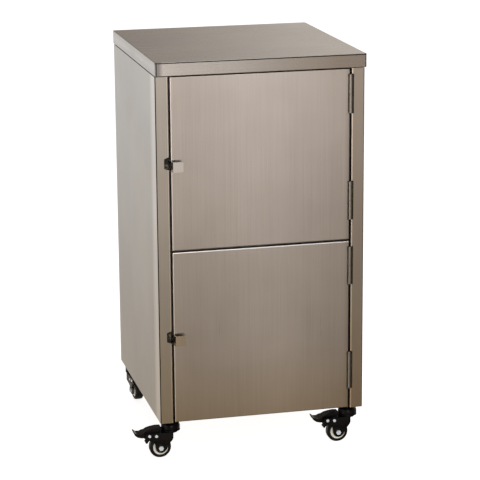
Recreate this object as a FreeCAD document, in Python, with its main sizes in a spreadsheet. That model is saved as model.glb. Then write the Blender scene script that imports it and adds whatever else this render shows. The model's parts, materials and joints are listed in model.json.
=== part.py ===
import FreeCAD, Part
import os
import re
import Sketcher
from FreeCAD import Placement, Rotation, Vector

# A stainless icebox on four braked casters. The upper door closes the ice chamber and the lower
# door the food chamber. X runs to the right, Y to the back and Z up, from the floor under the
# middle of the top cap. All sizes are millimetres.

doc = FreeCAD.newDocument("icebox")
sheet = doc.addObject("Spreadsheet::Sheet", "dims")

DIMENSIONS = [
    ("CapWidth", 480, "top cap, side to side"),
    ("CapDepth", 511, "top cap, front to back"),
    ("CapHeight", 31, "height of the cap's folded skirt"),
    ("CapFront", 10, "cap overhang in front of the doors"),
    ("CapBack", 1, "cap overhang behind the back"),
    ("CapLip", 12, "width of the lip folded in under the skirt"),
    ("CapSeal", 2.4, "seal strip that shows as a dark line under the cap"),
    ("SealWidth", 13, "width of the seal strip"),
    ("RivetRadius", 2, "back rivet shank"),
    ("RivetHead", 1, "height of a back rivet's head"),
    ("BodyWidth", 478, "cabinet, side to side"),
    ("BodyHeight", 799, "cabinet, bottom edge to cap"),
    ("SplitHeight", 401.3, "cabinet's bottom edge to the line between the doors"),
    ("SheetSteel", 1.2, "outer sheet thickness"),
    ("LinerSteel", 1, "inner sheet thickness"),
    ("BendRadius", 2, "outside radius of a folded edge"),
    ("StileWidth", 29.5, "front stile, folded from each side panel"),
    ("Flange", 15, "narrow flanges behind the side panels"),
    ("DoorSideGap", 4.5, "gap between door and stile"),
    ("DoorGap", 4, "gap between the two doors"),
    ("DoorTopGap", 3, "gap over the upper door"),
    ("DoorFootGap", 1, "lower door to the cabinet's bottom edge"),
    ("DoorDepth", 41, "door's front face to the gasket land"),
    ("SkinDepth", 32, "depth of the door's folded skin"),
    ("PlugDepth", 12, "door plug, standing into the chamber"),
    ("PlugMargin", 37, "door's side edges to plug"),
    ("PlugRelief", 4, "plug to the chamber's floor and ceiling"),
    ("PlugWall", 3, "plug edge to its inner well"),
    ("CoreRoom", 8, "room between the hinge notches and the foam"),
    ("CoreGap", 0.2, "door foam to the sheets round it"),
    ("GasketWidth", 12, "door seal width"),
    ("GasketInset", 5, "door edge to seal"),
    ("GasketRelief", 0.3, "seal to land"),
    ("ChamberWidth", 370, "both chambers, side to side"),
    ("ChamberBack", 194.5, "back wall of both chambers, from the middle"),
    ("FoodFloor", 147, "food chamber floor above the ground"),
    ("FoodCeiling", 469, "food chamber ceiling above the ground"),
    ("IceFloor", 511, "ice chamber floor above the ground"),
    ("IceCeiling", 851, "ice chamber ceiling above the ground"),
    ("DuctWidth", 70, "air duct, side to side"),
    ("DuctDepth", 24, "air duct, front to back"),
    ("DuctSide", 120, "air ducts from the middle plane"),
    ("DuctBack", 165, "air ducts behind the middle"),
    ("DrainRadius", 7, "outside of the drain tube"),
    ("DrainBore", 5.5, "inside of the drain tube"),
    ("DrainBack", 165, "drain behind the middle"),
    ("DrainFoot", 66, "open end of the drain tube above the ground"),
    ("HingeLength", 88, "hinge barrel, both knuckles"),
    ("HingeTop", 57, "door's top edge to the upper hinge's middle"),
    ("HingeFoot", 91, "door's bottom edge to the lower hinge's middle"),
    ("BarrelRadius", 3.9, "hinge barrel"),
    ("PinRadius", 2, "hinge pin"),
    ("PinPlay", 0.05, "hinge pin to door knuckle, each side"),
    ("LeafSteel", 1.5, "hinge leaf thickness"),
    ("LeafDepth", 26, "hinge leaf, front to back"),
    ("NotchSide", 7, "hinge notch from the barrel's middle"),
    ("NotchDepth", 6, "depth of the notches in the sheet edges"),
    ("PullHeight", 23, "door pull, top to bottom"),
    ("PullReach", 24.5, "door pull, door edge to free end"),
    ("PullDrop", 3, "door pull's middle below the door's middle"),
    ("PullStand", 15, "door pull, face in front of the door"),
    ("PullSteel", 1.5, "door pull thickness"),
    ("LatchNotchWidth", 11.5, "recess in the left stile beside each pull"),
    ("LatchNotchHeight", 31, "height of that recess at the stile's edge"),
    ("LatchNotchFar", 22, "height of that recess at its far side"),
    ("LatchRise", 6, "middle of that recess above the pull's middle"),
    ("LatchDepth", 22, "depth of that recess, cut through the stile's return"),
    ("CasterHeight", 88, "ground to the cabinet's bottom edge"),
    ("MountWidth", 68, "caster mount plate, side to side"),
    ("MountPlate", 4, "caster mount plate thickness"),
    ("CasterInset", 28, "swivel axis from the cabinet's sides, front and back"),
    ("Trail", 25.5, "swivel axis to axle"),
    ("WheelRadius", 25, "caster wheel"),
    ("TreadWidth", 21, "caster wheel tread"),
    ("HubRadius", 17.5, "caster wheel hub"),
    ("BossHalf", 12.2, "half the length of the hub's boss"),
    ("AxleRadius", 4, "caster axle"),
    ("AxlePlay", 0.05, "axle to hub, each side"),
    ("ForkInside", 25, "between the fork's legs at the axle"),
    ("ForkShoulder", 37, "between the fork's legs at the brake"),
    ("FlareFoot", 31, "where the legs start to spread, above the ground"),
    ("FlareHead", 46, "where they stop spreading"),
    ("ForkSteel", 2.5, "fork thickness"),
    ("ForkTop", 63, "top face of the fork above the ground"),
    ("RaceRadius", 22, "swivel head"),
    ("StemNut", 2, "thickness of the nut under each mount plate"),
    ("StemRadius", 5, "threaded stem"),
    ("BoltRadius", 3, "mount plate bolt"),
]
for row, (alias, size, meaning) in enumerate(DIMENSIONS, start=1):
    sheet.set(f"A{row}", meaning)
    sheet.set(f"B{row}", str(size))
    sheet.setAlias(f"B{row}", alias)
doc.recompute()

# Planes and levels that many pieces share.
FRONT = "(CapFront - CapDepth/2)"
BACK = "(CapDepth/2 - CapBack)"
BASE = "CasterHeight"
TOP = "(CasterHeight + BodyHeight)"
CROWN = "(CasterHeight + BodyHeight + CapHeight)"
SPLIT = "(CasterHeight + SplitHeight)"
LAND = f"({FRONT} + DoorDepth)"
DOOR_SIDE = "(BodyWidth/2 - StileWidth - DoorSideGap)"
STILE_SIDE = "(BodyWidth/2 - StileWidth)"
HINGE_X = "(BodyWidth/2 - StileWidth - DoorSideGap/2)"
AXIS_SIDE = "(BodyWidth/2 - CasterInset)"
PANEL_TOP = f"({TOP} - CapSeal)"
FLANGE_TOP = f"({BASE} + SheetSteel)"
FLOOR_TOP = f"({FLANGE_TOP} + SheetSteel)"

DOORS = {
    "upper": (f"({SPLIT} + DoorGap/2)", f"({TOP} - DoorTopGap)"),
    "lower": (f"({BASE} + DoorFootGap)", f"({SPLIT} - DoorGap/2)"),
}
PLUGS = {
    "upper": ("(IceFloor + PlugRelief)", "(IceCeiling - PlugRelief)"),
    "lower": ("(FoodFloor + PlugRelief)", "(FoodCeiling - PlugRelief)"),
}

# Side, front or back, and how far each caster has swivelled from trailing to the left.
CASTERS = {
    "front_left": (-1, -1, 0),
    "front_right": (1, -1, 0),
    "rear_left": (-1, 1, 95),
    "rear_right": (1, 1, 180),
}

# A caster's brake rivets, from its swivel axis and from the ground.
PIVOT = ("-52.8", "57.8")
STOP = ("-36.8", "56.6")


# ---------------------------------------------------------------- helpers

def linked(expression):
    """Point each capitalised alias in an expression at the dimension sheet."""
    return re.sub(r"[A-Z]\w+", lambda word: "dims." + word.group(), str(expression))


def value(expression):
    """The number that an expression of aliases stands for."""
    return float(sheet.evalExpression(str(expression)))


def bind(thing, **sizes):
    for name, expression in sizes.items():
        thing.setExpression(name, linked(expression))


def put(thing, x, y, z):
    """Bind an object's place to the sheet."""
    for axis, expression in zip("xyz", (x, y, z)):
        thing.setExpression(f"Placement.Base.{axis}", linked(expression))


def block(name, low, high):
    """A box between two corners."""
    box = doc.addObject("Part::Box", name)
    sizes = [f"({top}) - ({bottom})" for bottom, top in zip(low, high)]
    bind(box, Length=sizes[0], Width=sizes[1], Height=sizes[2])
    put(box, *low)
    return box


def rod(name, foot, length, radius, along="Z"):
    """A cylinder from its foot, along Z or Y."""
    cylinder = doc.addObject("Part::Cylinder", name)
    bind(cylinder, Radius=radius, Height=length)
    if along == "Y":
        cylinder.Placement = Placement(Vector(), Rotation(Vector(1, 0, 0), -90))
    put(cylinder, *foot)
    return cylinder


def hexagon(name, foot, height, flats, along="Z"):
    """A hexagonal prism for a nut or a bolt head."""
    prism = doc.addObject("Part::Prism", name)
    prism.Polygon = 6
    bind(prism, Circumradius=f"({flats}) / sqrt(3)", Height=height)
    if along == "Y":
        prism.Placement = Placement(Vector(), Rotation(Vector(1, 0, 0), -90))
    put(prism, *foot)
    return prism


def fuse(name, *pieces):
    union = doc.addObject("Part::MultiFuse", name)
    union.Shapes = list(pieces)
    union.Refine = True
    return union


def cut(name, base, *tools):
    result = doc.addObject("Part::Cut", name)
    result.Base = base
    result.Tool = tools[0] if len(tools) == 1 else fuse(name + "_tools", *tools)
    return result


def group(name, *pieces):
    """Separate solids that share one node."""
    compound = doc.addObject("Part::Compound", name)
    compound.Links = list(pieces)
    return compound


def spans(edge, axis):
    """True for an edge that runs along one axis."""
    box = edge.BoundBox
    lengths = {"x": box.XLength, "y": box.YLength, "z": box.ZLength}
    return lengths[axis] > 0.5 * edge.Length and edge.Length > 0.1


def lies(edge, axis, expression):
    """True for an edge that lies wholly at one coordinate."""
    box = edge.BoundBox
    ends = {"x": (box.XMin, box.XMax), "y": (box.YMin, box.YMax), "z": (box.ZMin, box.ZMax)}
    level = value(expression)
    return all(abs(end - level) < 0.01 for end in ends[axis])


def rounded(name, base, radius, test):
    """Round every edge of a Part object that passes the test."""
    doc.recompute()
    fillet = doc.addObject("Part::Fillet", name)
    fillet.Base = base
    size = value(radius)
    fillet.Edges = [(i, size, size) for i, edge in enumerate(base.Shape.Edges, start=1) if test(edge)]
    return fillet


def body(name):
    return doc.addObject("PartDesign::Body", name)


def sketch(owner, name, role, offset="0"):
    """A sketch on one of a body's own origin planes, moved along the plane's normal."""
    drawing = owner.newObject("Sketcher::SketchObject", name)
    origin_plane = next(item for item in owner.Origin.OriginFeatures if item.Role == role)
    drawing.AttachmentSupport = [(origin_plane, "")]
    drawing.MapMode = "FlatFace"
    drawing.setExpression("AttachmentOffset.Base.z", linked(offset))
    return drawing


def tie(drawing, index, point, x, y):
    """Hold one point of a sketch at two driven coordinates."""
    for name, axis, expression in (("DistanceX", -2, x), ("DistanceY", -1, y)):
        size = value(expression)
        if abs(size) < 1e-9:
            drawing.addConstraint(Sketcher.Constraint("PointOnObject", index, point, axis))
        else:
            rule = drawing.addConstraint(Sketcher.Constraint(name, -1, 1, index, point, size))
            drawing.setExpression(f"Constraints[{rule}]", linked(expression))


def outline(drawing, points):
    """Close a loop of straight lines through driven points."""
    corners = [Vector(value(x), value(y), 0) for x, y in points]
    first = drawing.GeometryCount
    count = len(corners)
    for i in range(count):
        drawing.addGeometry(Part.LineSegment(corners[i], corners[(i + 1) % count]), False)
    for i in range(count):
        follower = first + (i + 1) % count
        drawing.addConstraint(Sketcher.Constraint("Coincident", first + i, 2, follower, 1))
    for i, (x, y) in enumerate(points):
        tie(drawing, first + i, 1, x, y)


def ring(drawing, x, y, radius):
    """A circle in a sketch with a driven centre and radius."""
    circle = Part.Circle(Vector(value(x), value(y), 0), Vector(0, 0, 1), value(radius))
    index = drawing.addGeometry(circle, False)
    tie(drawing, index, 3, x, y)
    rule = drawing.addConstraint(Sketcher.Constraint("Radius", index, value(radius)))
    drawing.setExpression(f"Constraints[{rule}]", linked(radius))


def pad(owner, name, profile, length, both_sides=False):
    feature = owner.newObject("PartDesign::Pad", name)
    feature.Profile = profile
    feature.SideType = "Symmetric" if both_sides else "One side"
    bind(feature, Length=length)
    return feature


def pocket(owner, name, profile, length, both_sides=False):
    feature = owner.newObject("PartDesign::Pocket", name)
    feature.Profile = profile
    feature.SideType = "Symmetric" if both_sides else "One side"
    bind(feature, Length=length)
    return feature


def turned(owner, name, profile, axis):
    """A solid of revolution about an axis of its sketch."""
    feature = owner.newObject("PartDesign::Revolution", name)
    feature.Profile = profile
    feature.ReferenceAxis = (profile, [axis])
    feature.Angle = 360
    return feature


def softened(owner, name, base, radius, test):
    """Fillet the edges of a body's feature that pass the test."""
    doc.recompute()
    chosen = [f"Edge{i}" for i, edge in enumerate(base.Shape.Edges, start=1) if test(edge)]
    fillet = owner.newObject("PartDesign::Fillet", name)
    fillet.Base = (base, chosen)
    bind(fillet, Radius=radius)
    return fillet


# ---------------------------------------------------------------- cabinet shell

def hinge_centres(door):
    """Heights of a door's two hinges, upper one first."""
    low, high = DOORS[door]
    return [f"({high} - HingeTop)", f"({low} + HingeFoot)"]


def pull_centre(door):
    low, high = DOORS[door]
    return f"(({low} + {high})/2 - PullDrop)"


def hinge_notches(name, room="0"):
    """Cutters that clear the hinge barrels through the door and stile edges, with room behind them."""
    cutters = []
    for door in DOORS:
        for place, middle in zip(("top", "foot"), hinge_centres(door)):
            half = f"(HingeLength/2 + 1 + {room})"
            low = (f"{HINGE_X} - NotchSide - {room}", f"{FRONT} - 1", f"{middle} - {half}")
            high = (f"{HINGE_X} + NotchSide", f"{FRONT} + NotchDepth + {room}", f"{middle} + {half}")
            cutters.append(block(f"{name}_{door}_{place}", low, high))
    return cutters


def latch_notches(name):
    """Cutters for the recess in the left stile beside each pull, taller at the stile's edge."""
    cutters = []
    for door in DOORS:
        middle = f"({pull_centre(door)} + LatchRise)"
        owner = body(f"{name}_{door}")
        shape = sketch(owner, f"{name}_{door}_shape", "XZ_Plane", f"-({FRONT} + LatchDepth)")
        outline(shape, [
            (f"-{STILE_SIDE} + 1", f"{middle} - LatchNotchHeight/2"),
            (f"-{STILE_SIDE} + 1", f"{middle} + LatchNotchHeight/2"),
            (f"-{STILE_SIDE} - LatchNotchWidth", f"{middle} + LatchNotchFar/2"),
            (f"-{STILE_SIDE} - LatchNotchWidth", f"{middle} - LatchNotchFar/2"),
        ])
        recess = pad(owner, f"{name}_{door}_depth", shape, "LatchDepth + 1")
        softened(owner, f"{name}_{door}_round", recess, "2", lambda edge: spans(edge, "y"))
        cutters.append(owner)
    return cutters


def side_panel(name, side, cutters):
    """One sheet folded into side wall, front stile, stile return and back flange."""
    owner = body(name + "_sheet")
    wall = f"{side}*BodyWidth/2"
    inner_wall = f"{side}*(BodyWidth/2 - SheetSteel)"
    flange = f"{side}*(BodyWidth/2 - Flange)"
    stile = f"{side}*{STILE_SIDE}"
    inner_stile = f"{side}*({STILE_SIDE} + SheetSteel)"
    plan = sketch(owner, name + "_plan", "XY_Plane", BASE)
    outline(plan, [
        (flange, BACK),
        (wall, BACK),
        (wall, FRONT),
        (stile, FRONT),
        (stile, f"{LAND} + LinerSteel"),
        (inner_stile, f"{LAND} + LinerSteel"),
        (inner_stile, f"{FRONT} + SheetSteel"),
        (inner_wall, f"{FRONT} + SheetSteel"),
        (inner_wall, f"{BACK} - SheetSteel"),
        (flange, f"{BACK} - SheetSteel"),
    ])
    pad(owner, name + "_fold", plan, "BodyHeight - CapSeal")
    for level, foot in (("foot", BASE), ("head", f"{PANEL_TOP} - SheetSteel")):
        strip = sketch(owner, f"{name}_{level}_plan", "XY_Plane", foot)
        outline(strip, [
            (inner_wall, f"{FRONT} + SheetSteel"),
            (flange, f"{FRONT} + SheetSteel"),
            (flange, f"{BACK} - SheetSteel"),
            (inner_wall, f"{BACK} - SheetSteel"),
        ])
        folded = pad(owner, f"{name}_{level}_flange", strip, "SheetSteel")
    softened(owner, name + "_bends", folded, "BendRadius", lambda edge: spans(edge, "z") and (
        lies(edge, "y", FRONT) or (lies(edge, "y", BACK) and lies(edge, "x", wall))))
    return cut(name, owner, *cutters, *rivet_shanks(name + "_holes"))


def back_panel(name):
    """Flat sheet behind the insulation, inside the side panels' back flanges."""
    reach = "(BodyWidth/2 - SheetSteel - 0.3)"
    low = (f"-{reach}", f"{BACK} - 2*SheetSteel", f"{BASE} + 2*SheetSteel")
    high = (reach, f"{BACK} - SheetSteel", f"{PANEL_TOP} - SheetSteel")
    sheet_metal = block(name + "_sheet", low, high)
    return cut(name, sheet_metal, *rivet_shanks(name + "_holes"))


def rivet_places():
    """The back rivets' places: a column of five in each back flange."""
    heights = [f"({BASE} + BodyHeight*{(2 * i + 1) / 10})" for i in range(5)]
    return [(f"{side}*(BodyWidth/2 - Flange/2)", height) for side in (-1, 1) for height in heights]


def rivet_shanks(name):
    return [
        rod(f"{name}_{i}", (x, f"{BACK} - 2*SheetSteel - 0.4", z), "2*SheetSteel + 0.6", "RivetRadius", "Y")
        for i, (x, z) in enumerate(rivet_places())
    ]


def back_rivets(name):
    """Domed rivets that hold the back panel to the side flanges."""
    rivets = []
    for i, (shank, (x, z)) in enumerate(zip(rivet_shanks(name + "_shank"), rivet_places())):
        blank = rod(f"{name}_blank_{i}", (x, BACK, z), "RivetHead", "2*RivetRadius", "Y")
        head = rounded(f"{name}_head_{i}", blank, "0.7", lambda edge: lies(edge, "y", f"{BACK} + RivetHead"))
        tail = rod(f"{name}_tail_{i}", (x, f"{BACK} - 2*SheetSteel - 1.2", z), "1.2", "1.5*RivetRadius", "Y")
        rivets.append(fuse(f"{name}_{i}", shank, head, tail))
    return group(name, *rivets)


def swivel_y(side):
    """Distance of a swivel axis from the middle, front (-1) or back (1)."""
    return f"({FRONT} + CasterInset)" if side < 0 else f"({BACK} - CasterInset)"


def bottom_panel(name):
    """Flat sheet on the side panels' foot flanges, behind the lower door."""
    reach = "(BodyWidth/2 - SheetSteel - 0.3)"
    plate = block(name + "_sheet", (f"-{reach}", f"{LAND} + LinerSteel", FLANGE_TOP),
                  (reach, f"{BACK} - SheetSteel", FLOOR_TOP))
    holes = [rod(f"{name}_hole_{i}", (x, y, BASE), "5", "BoltRadius")
             for i, (x, y) in enumerate(bolt_places())]
    drain = rod(name + "_drain", ("0", "DrainBack", BASE), "5", "DrainRadius + 0.3")
    return cut(name, plate, *holes, drain)


def top_cap(name):
    """Folded pan over the cabinet, with a lip turned in under its skirt."""
    half = "CapWidth/2"
    outer = block(name + "_blank", (f"-{half}", "-CapDepth/2", TOP), (half, "CapDepth/2", CROWN))
    crisp = rounded(name + "_folds", outer, "1.2", lambda edge: (
        spans(edge, "z") or lies(edge, "z", CROWN) or lies(edge, "z", TOP)))
    inset = "(CapWidth/2 - SheetSteel)"
    inset_y = "(CapDepth/2 - SheetSteel)"
    hollow = block(name + "_hollow", (f"-{inset}", f"-{inset_y}", f"{TOP} + SheetSteel"),
                   (inset, inset_y, f"{CROWN} - SheetSteel"))
    lip = "(CapWidth/2 - CapLip)"
    lip_y = "(CapDepth/2 - CapLip - CapFront)"
    mouth = block(name + "_mouth", (f"-{lip}", f"-{lip_y}", f"{TOP} - 1"), (lip, lip_y, f"{TOP} + 2"))
    return cut(name, crisp, hollow, mouth)


def cap_seal(name):
    """Rubber strip that the cap rests on, set back from the cabinet's sides."""
    side = "(BodyWidth/2 - 4)"
    inner = f"({side} - SealWidth)"
    rear = f"({BACK} - 4)"
    left = block(name + "_left", (f"-{side}", f"{FRONT} + 4", PANEL_TOP), (f"-{inner}", rear, TOP))
    right = block(name + "_right", (inner, f"{FRONT} + 4", PANEL_TOP), (side, rear, TOP))
    front = block(name + "_front", (f"-{inner} - 1", f"{LAND} + LinerSteel", PANEL_TOP),
                  (f"{inner} + 1", f"{LAND} + LinerSteel + SealWidth", TOP))
    back = block(name + "_back", (f"-{inner} - 1", f"{rear} - SealWidth", PANEL_TOP),
                 (f"{inner} + 1", rear, TOP))
    return fuse(name, left, right, front, back)


# ---------------------------------------------------------------- chambers

def liner(name, floor, ceiling, land_low, land_high, openings):
    """An open-fronted box with a flat land round its mouth for the gasket."""
    half = "(ChamberWidth/2)"
    wall = "(ChamberWidth/2 + LinerSteel)"
    tub = block(name + "_tub", (f"-{wall}", LAND, f"{floor} - LinerSteel"),
                (wall, "ChamberBack + LinerSteel", f"{ceiling} + LinerSteel"))
    land = block(name + "_land", (f"-{STILE_SIDE}", LAND, land_low),
                 (STILE_SIDE, f"{LAND} + LinerSteel", land_high))
    space = block(name + "_space", (f"-{half}", f"{LAND} - 1", floor), (half, "ChamberBack", ceiling))
    pressed = fuse(name + "_pressing", tub, land)
    return cut(name, pressed, space, *openings)


def duct_cutters(name, low, high, grow):
    """Vertical cutters for the two air ducts, grown past the duct's own inside."""
    return [
        block(f"{name}_{side}",
              (f"{sign}*DuctSide - DuctWidth/2 - {grow}", f"DuctBack - DuctDepth/2 - {grow}", low),
              (f"{sign}*DuctSide + DuctWidth/2 + {grow}", f"DuctBack + DuctDepth/2 + {grow}", high))
        for side, sign in (("left", -1), ("right", 1))
    ]


def drain_cutter(name, low, high, radius):
    return rod(name, ("0", "DrainBack", low), f"({high}) - ({low})", radius)


def air_ducts(name):
    """Two square sleeves that let air fall from the ice to the food and rise again."""
    low = "FoodCeiling"
    high = "(IceFloor + 4)"
    outer = duct_cutters(name + "_outside", low, high, "LinerSteel")
    inner = duct_cutters(name + "_inside", f"{low} - 1", f"{high} + 1", "0")
    sleeves = [cut(f"{name}_{i}", tube, hole) for i, (tube, hole) in enumerate(zip(outer, inner))]
    return group(name, *sleeves)


def insulation_boards(name):
    """Foam boards between the shell and the two liners."""
    shell = "(BodyWidth/2 - SheetSteel - 0.3)"
    inner = "(ChamberWidth/2 + LinerSteel)"
    rear = f"({BACK} - 2*SheetSteel - 1.4)"
    front = f"({LAND} + LinerSteel)"
    foot = f"({FLOOR_TOP} + 8)"
    head = f"({PANEL_TOP} - SheetSteel - 0.3)"
    back = "(ChamberBack + LinerSteel)"
    sides = [
        block(f"{name}_{side}", (low, front, foot), (high, rear, head))
        for side, low, high in (("left", f"-{shell}", f"-{inner}"), ("right", inner, shell))
    ]
    rear_board = block(name + "_rear", (f"-{inner}", back, foot), (inner, rear, head))
    floor = block(name + "_floor", (f"-{inner}", front, foot), (inner, back, "FoodFloor - LinerSteel"))
    divider = block(name + "_divider", (f"-{inner}", front, "FoodCeiling + LinerSteel"),
                    (inner, back, "IceFloor - LinerSteel"))
    ceiling = block(name + "_ceiling", (f"-{inner}", front, "IceCeiling + LinerSteel"),
                    (inner, back, PANEL_TOP))
    reach = "(CapWidth/2 - SheetSteel - 0.3)"
    reach_y = "(CapDepth/2 - SheetSteel - 0.3)"
    lid = block(name + "_lid", (f"-{reach}", f"-{reach_y}", f"{TOP} + SheetSteel + 0.2"),
                (reach, reach_y, f"{CROWN} - SheetSteel - 0.2"))
    drain = drain_cutter(name + "_drain", f"{foot} - 1", "IceFloor", "DrainRadius + 0.3")
    drain_two = drain_cutter(name + "_drain_two", f"{foot} - 1", "FoodFloor", "DrainRadius + 0.3")
    ducts = duct_cutters(name + "_duct", "FoodCeiling", "IceFloor", "(LinerSteel + 0.2)")
    drilled = cut(name + "_divider_drilled", divider, drain, *ducts)
    floor_drilled = cut(name + "_floor_drilled", floor, drain_two)
    return group(name, *sides, rear_board, floor_drilled, drilled, ceiling, lid)


def grid(name, level, spacing, count, half_width, near, far, bar):
    """A flat grid of round bars on two cross bars, joined where they meet."""
    owner = body(name + "_bars")
    first = f"(-({count} - 1)*{spacing}/2)"
    end = sketch(owner, name + "_bar_end", "XZ_Plane", f"-({far})")
    ring(end, first, level, bar)
    pad(owner, name + "_bar", end, f"({far}) - ({near})")
    doc.recompute()
    row = owner.newObject("PartDesign::LinearPattern", name + "_row")
    row.Originals = [owner.Group[-2]]
    x_axis = next(item for item in owner.Origin.OriginFeatures if item.Role == "X_Axis")
    row.Direction = (x_axis, [""])
    bind(row, Length=f"({count} - 1)*{spacing}")
    row.Occurrences = count
    owner.Tip = row
    rails = []
    for place, y in (("near", f"({near}) + 25"), ("far", f"({far}) - 25")):
        rail_low = (f"-({half_width})", f"{y} - 2", f"({level}) - {bar} - 4")
        rail_high = (half_width, f"{y} + 2", f"({level}) - {bar} + 0.6")
        rails.append(block(f"{name}_rail_{place}", rail_low, rail_high))
    return fuse(name, owner, *rails)


def ice_rack(name):
    """Grid that keeps the ice block out of its meltwater, on four feet."""
    level = "(IceFloor + 22)"
    near = f"({LAND} + 18)"
    bars = grid(name + "_grid", level, 20, 18, "174", near, "130", "2.5")
    corners = [(x, y) for x in ("-171", "171") for y in (f"({near} + 25)", "105")]
    feet = [
        block(f"{name}_foot_{i}", (f"{x} - 3", f"{y} - 2", "IceFloor"),
              (f"{x} + 3", f"{y} + 2", f"{level} - 4"))
        for i, (x, y) in enumerate(corners)
    ]
    return fuse(name, bars, *feet)


SHELF_LEVEL = "(FoodFloor + 165)"


def food_shelf(name):
    """Bar shelf across the food chamber."""
    return grid(name, SHELF_LEVEL, 20, 18, "178", f"({LAND} + 18)", "140", "2.5")


def shelf_rails(name):
    """Angle rails on the chamber's side walls, under the shelf."""
    rails = []
    underside = f"({SHELF_LEVEL} - 6.5)"
    for side, sign in (("left", -1), ("right", 1)):
        owner = body(f"{name}_{side}")
        section = sketch(owner, f"{name}_{side}_section", "XZ_Plane", "-140")
        wall = f"{sign}*ChamberWidth/2"
        outline(section, [
            (wall, underside),
            (f"{sign}*(ChamberWidth/2 - 16)", underside),
            (f"{sign}*(ChamberWidth/2 - 16)", f"{underside} - 1.5"),
            (f"{sign}*(ChamberWidth/2 - 1.5)", f"{underside} - 1.5"),
            (f"{sign}*(ChamberWidth/2 - 1.5)", f"{underside} - 18"),
            (wall, f"{underside} - 18"),
        ])
        pad(owner, f"{name}_{side}_length", section, f"140 - {LAND} - 18")
        rails.append(owner)
    return group(name, *rails)


# ---------------------------------------------------------------- drain

def drain_fitting(name):
    """Flanged spigot that takes the meltwater through the ice chamber's floor."""
    owner = body(name)
    section = sketch(owner, name + "_section", "XZ_Plane")
    outline(section, [
        ("4", "-14"),
        ("DrainBore", "-14"),
        ("DrainBore", "0"),
        ("16", "0"),
        ("16", "1.2"),
        ("4", "0.4"),
    ])
    turned(owner, name + "_turn", section, "V_Axis")
    put(owner, "0", "DrainBack", "IceFloor")
    return owner


def drain_tube(name):
    """Straight tube from the ice chamber's floor down through the base."""
    owner = body(name)
    section = sketch(owner, name + "_section", "XY_Plane")
    ring(section, "0", "0", "DrainRadius")
    ring(section, "0", "0", "DrainBore")
    pad(owner, name + "_length", section, "IceFloor - LinerSteel - DrainFoot")
    put(owner, "0", "DrainBack", "DrainFoot")
    return owner


def drain_valve(name):
    """Rubber sleeve over the tube's end, drawn to a slit that keeps warm air out."""
    owner = body(name)
    section = sketch(owner, name + "_section", "XZ_Plane")
    outline(section, [
        ("DrainRadius", "12"),
        ("DrainRadius + 2", "12"),
        ("DrainRadius + 2", "0"),
        ("3", "-16"),
        ("1.2", "-16"),
        ("DrainBore", "0"),
        ("DrainRadius", "0"),
    ])
    turned(owner, name + "_turn", section, "V_Axis")
    put(owner, "0", "DrainBack", "DrainFoot")
    return owner


# ---------------------------------------------------------------- hinges and catches

def hinge_leaf(name, side, low, high):
    """Flat leaf in the gap: on the door's edge (-1) or on the stile's return (1)."""
    outer = f"({HINGE_X} + {side}*DoorSideGap/2)"
    inner = f"({HINGE_X} + {side}*(DoorSideGap/2 - LeafSteel))"
    x_low, x_high = (outer, inner) if side < 0 else (inner, outer)
    return block(name, (x_low, FRONT, low), (x_high, f"{FRONT} + LeafDepth", high))


def hinge_pins(name):
    """A pin in each frame knuckle, standing up into the door's knuckle."""
    pins = []
    for door in DOORS:
        for place, middle in zip(("top", "foot"), hinge_centres(door)):
            foot = f"{middle} - HingeLength/2"
            pin = rod(f"{name}_{door}_{place}", (HINGE_X, FRONT, foot), "HingeLength - 3", "PinRadius")
            pins.append(pin)
    return group(name, *pins)


def hinge_halves(name, doors, side):
    """The leaf and knuckle of each hinge: the frame's half below, the door's above."""
    halves = []
    for door in doors:
        for place, middle in zip(("top", "foot"), hinge_centres(door)):
            tag = f"{name}_{door}_{place}"
            if side > 0:
                low, high = f"{middle} - HingeLength/2", f"{middle} - 0.2"
                bore_radius = "PinRadius"
            else:
                low, high = f"{middle} + 0.2", f"{middle} + HingeLength/2"
                bore_radius = "PinRadius + PinPlay"
            length = f"({high}) - ({low})"
            barrel = rod(f"{tag}_barrel", (HINGE_X, FRONT, low), length, "BarrelRadius")
            eased = rounded(f"{tag}_eased", barrel, "0.5", lambda edge: not spans(edge, "z"))
            leaf = hinge_leaf(f"{tag}_leaf", side, low, high)
            bore_foot = f"{low} - 1" if side > 0 else low
            bore_length = f"{length} + 2" if side > 0 else f"{length} - 2"
            bore = rod(f"{tag}_bore", (HINGE_X, FRONT, bore_foot), bore_length, bore_radius)
            halves.append(cut(tag, fuse(f"{tag}_half", eased, leaf), bore))
    return group(name, *halves)


def catch_magnets(name):
    """Magnetic catches behind the left stile, with a nose in each recess facing the pull's root."""
    magnets = []
    inner_stile = f"(-{STILE_SIDE} - SheetSteel)"
    for door in DOORS:
        middle = pull_centre(door)
        base = block(f"{name}_{door}_base", (f"{inner_stile} - 11", f"{FRONT} + 9", f"{middle} - 22"),
                     (inner_stile, f"{FRONT} + 20", f"{middle} + 24"))
        nose = block(f"{name}_{door}_nose", (f"{inner_stile} - 2", f"{FRONT} + 9", f"{middle} - 7"),
                     (f"{inner_stile} + 1", f"{FRONT} + 20", f"{middle} + 16"))
        magnets.append(fuse(f"{name}_{door}", base, nose))
    return group(name, *magnets)


# ---------------------------------------------------------------- doors

def door_skin(name, door, cutters):
    """Folded outer pan with rounded front edges and cleared hinge notches."""
    low, high = DOORS[door]
    blank = block(name + "_blank", (f"-{DOOR_SIDE}", FRONT, low), (DOOR_SIDE, f"{FRONT} + SkinDepth", high))
    folded = rounded(name + "_folds", blank, "BendRadius", lambda edge: lies(edge, "y", FRONT))
    hollow = block(name + "_hollow",
                   (f"-{DOOR_SIDE} + SheetSteel", f"{FRONT} + SheetSteel", f"{low} + SheetSteel"),
                   (f"{DOOR_SIDE} - SheetSteel", f"{FRONT} + SkinDepth + 1", f"{high} - SheetSteel"))
    return cut(name, folded, hollow, *cutters)


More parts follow.
